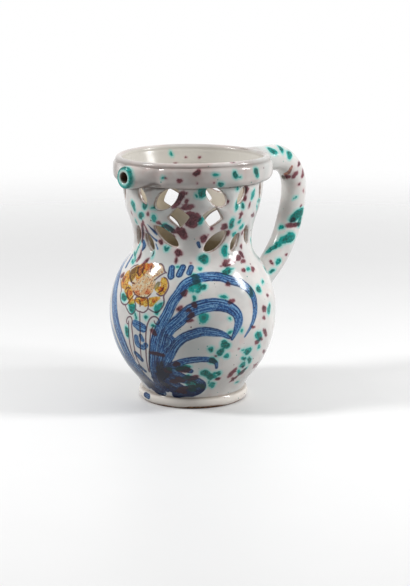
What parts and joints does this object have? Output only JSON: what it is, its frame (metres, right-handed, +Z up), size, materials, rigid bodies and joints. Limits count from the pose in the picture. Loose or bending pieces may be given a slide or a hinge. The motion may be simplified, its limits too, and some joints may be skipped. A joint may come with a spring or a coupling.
{
  "type": "puzzle jug",
  "caption": "Glazed pottery puzzle jug with a round belly, a pierced neck, a hollow rim band with one drinking spout and a hollow loop handle that carries the drink up from the belly floor.",
  "frame": {"origin": "centre of the foot ring's resting plane, on the axis of the jug", "axes": "+Z up along the axis of the jug, +X towards the handle, -X towards the drinking spout, the jug's front with the painted flower and the large pierced window lies between -X and -Y"},
  "size_m": [0.1986, 0.137, 0.2006],
  "materials": {
    "white_glaze": "glossy off-white glaze with painted spots, fronds and a flower",
    "green_glaze": "glossy glaze with a green ring round the mouth",
    "inner_glaze": "thin tan glaze",
    "bare_clay": "matt bare clay at the foot's lower edge"
  },
  "bodies": {
    "root": {"foot_ring": "bare_clay", "belly": "white_glaze", "neck": "white_glaze", "rim_band": "white_glaze", "spout": "green_glaze", "handle": "white_glaze", "inner_duct": "inner_glaze"}
  },
  "joints": []
}
